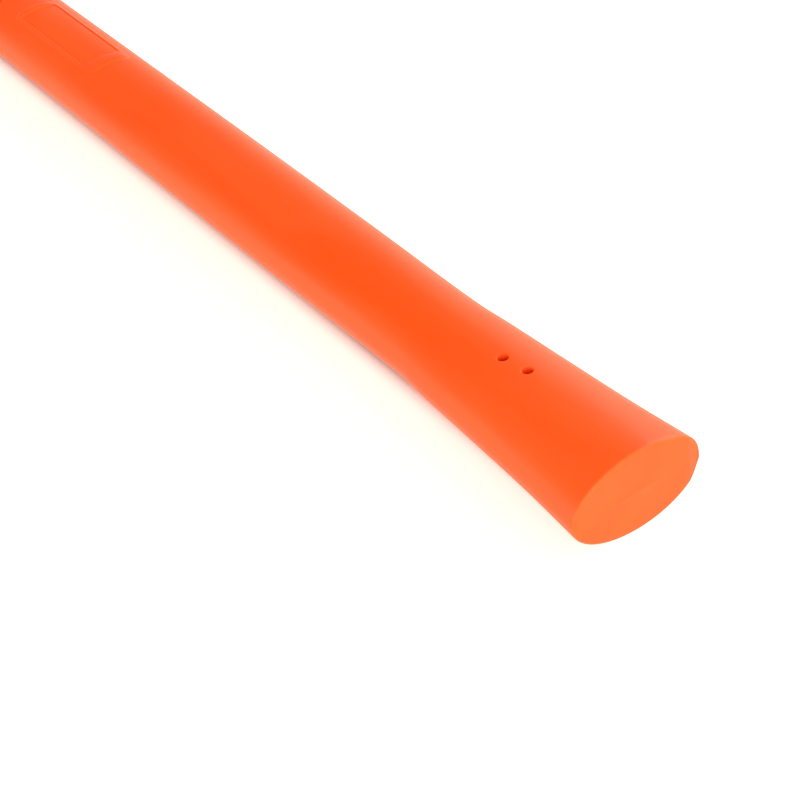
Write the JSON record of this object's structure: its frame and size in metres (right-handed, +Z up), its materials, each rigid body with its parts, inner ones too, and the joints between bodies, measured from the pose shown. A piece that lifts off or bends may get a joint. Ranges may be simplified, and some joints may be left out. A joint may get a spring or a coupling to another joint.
{
  "type": "felling axe handle",
  "caption": "Straight two-component handle for a felling axe, with a flared oval eye seat, a moulded core, a soft grip and a hanging hole.",
  "frame": {"origin": "middle of the flat head-end face", "axes": "+X along the handle from the head end to the butt, +Y across the depth in the plane of the swing, +Z up through the thickness, with the handle lying on a flat side"},
  "size_m": [0.9, 0.0528, 0.0304],
  "materials": {
    "glass_fibre": "pultruded glass-fibre rod, resin-rich matt surface",
    "orange_plastic": "injection-moulded polypropylene, satin, bright orange",
    "black_rubber": "moulded thermoplastic rubber, fine matt texture, black"
  },
  "bodies": {
    "root": {"core": "glass_fibre", "jacket": "orange_plastic", "grip": "black_rubber"}
  },
  "joints": []
}
